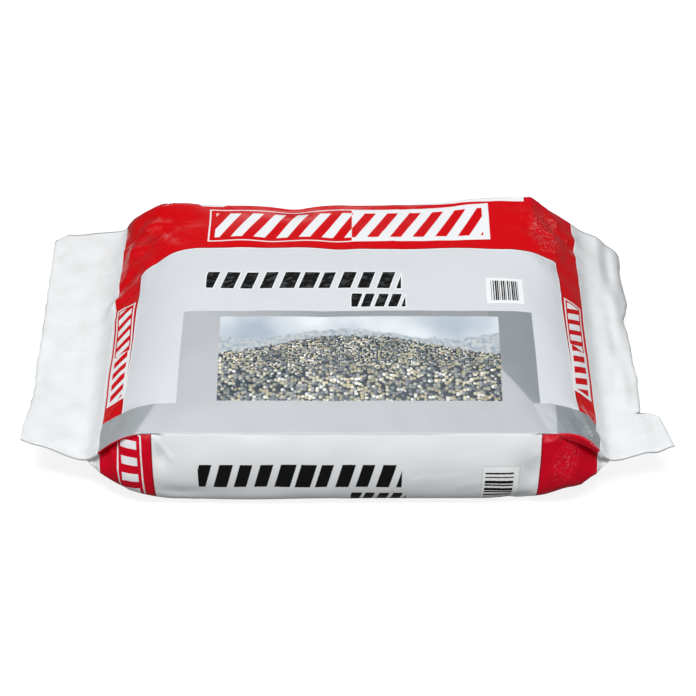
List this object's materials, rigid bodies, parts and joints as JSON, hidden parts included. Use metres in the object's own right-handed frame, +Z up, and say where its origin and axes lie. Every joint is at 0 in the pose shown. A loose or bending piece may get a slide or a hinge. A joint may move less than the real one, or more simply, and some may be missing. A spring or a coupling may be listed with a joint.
{
  "type": "bag of concrete mix",
  "caption": "Filled plastic sack of dry concrete mix lying flat, with side gussets, flat film fins at both ends and a printed coloured border.",
  "frame": {"origin": "centre of the flat underside, on the floor", "axes": "+X along the sack from one end fin to the other, +Y across it away from the viewer, +Z up through the front panel"},
  "size_m": [0.6373, 0.367, 0.096],
  "materials": {
    "printed_film": "satin printed polyethylene film"
  },
  "bodies": {
    "root": {"filled_sack": "printed_film"}
  },
  "joints": []
}
